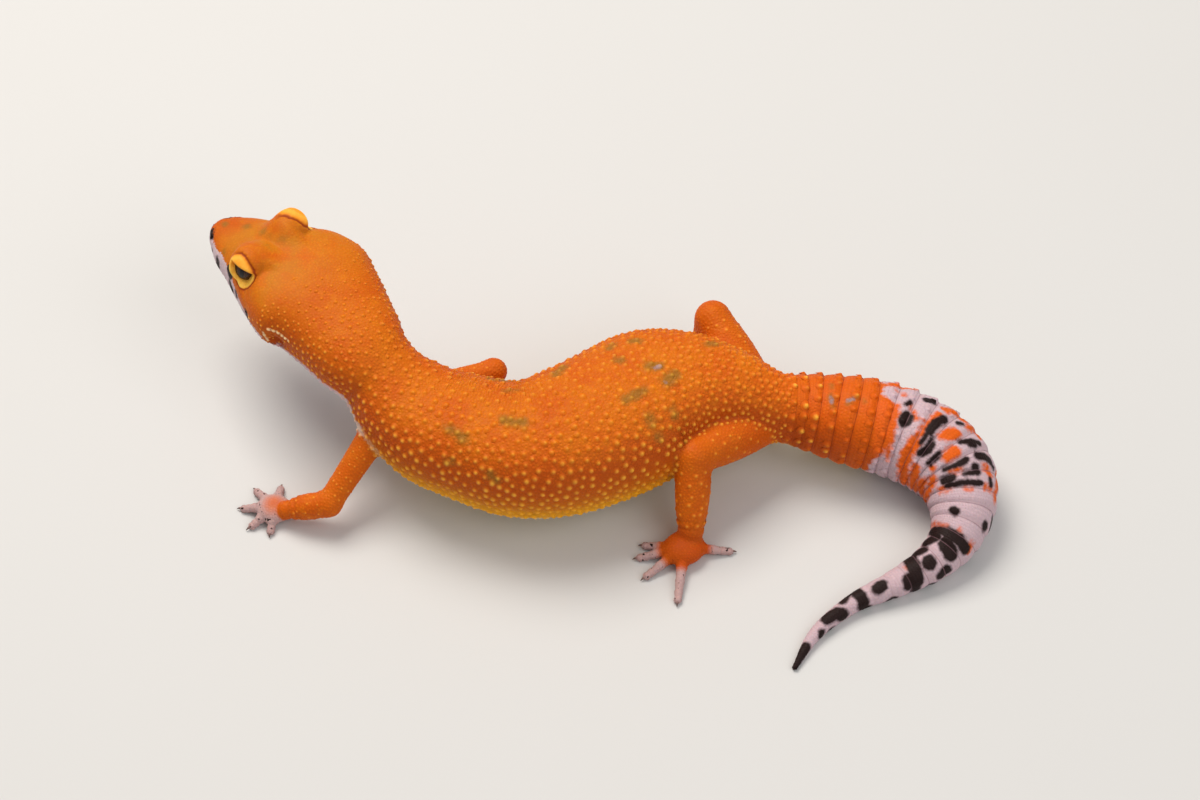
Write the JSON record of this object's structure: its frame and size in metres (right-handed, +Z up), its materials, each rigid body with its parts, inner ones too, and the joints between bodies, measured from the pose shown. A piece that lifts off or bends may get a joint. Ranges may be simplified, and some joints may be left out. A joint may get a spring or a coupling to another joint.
{
  "type": "leopard gecko",
  "caption": "Adult leopard gecko standing with its body in an S, head raised and fat ringed tail curled forward, orange with a pale spotted tail end.",
  "frame": {"origin": "centre of the bounding box's base, on the ground the animal stands on", "axes": "+Z up; +X towards the tail's bend, along the longest extent; the head is at -X, turned towards +Y; the animal's left side faces -Y"},
  "size_m": [0.143, 0.082, 0.0339],
  "materials": {
    "head_skin": "fine granular scales, satin",
    "body_skin": "granular scales with raised tubercles, satin",
    "limb_skin": "fine granular scales, satin",
    "tail_skin": "ringed scales, satin",
    "banded_skin": "ringed scales with dark spots, satin",
    "lip_skin": "smooth plates, satin",
    "toe_skin": "fine scales, satin",
    "eye": "wet and glossy"
  },
  "bodies": {
    "root": {"head": "head_skin", "lower_jaw": "lip_skin", "eye_left": "eye", "eye_right": "eye", "neck": "head_skin", "chest": "body_skin", "belly": "body_skin", "pelvis": "body_skin", "tail_base": "tail_skin", "tail_bend": "banded_skin", "tail_taper": "banded_skin", "tail_tip": "banded_skin", "upper_arm_left": "limb_skin", "forearm_left": "limb_skin", "hand_left": "toe_skin", "thigh_left": "limb_skin", "shin_left": "limb_skin", "foot_left": "toe_skin", "upper_arm_right": "limb_skin", "forearm_right": "limb_skin", "hand_right": "toe_skin", "thigh_right": "limb_skin", "shin_right": "limb_skin", "foot_right": "toe_skin"}
  },
  "joints": []
}
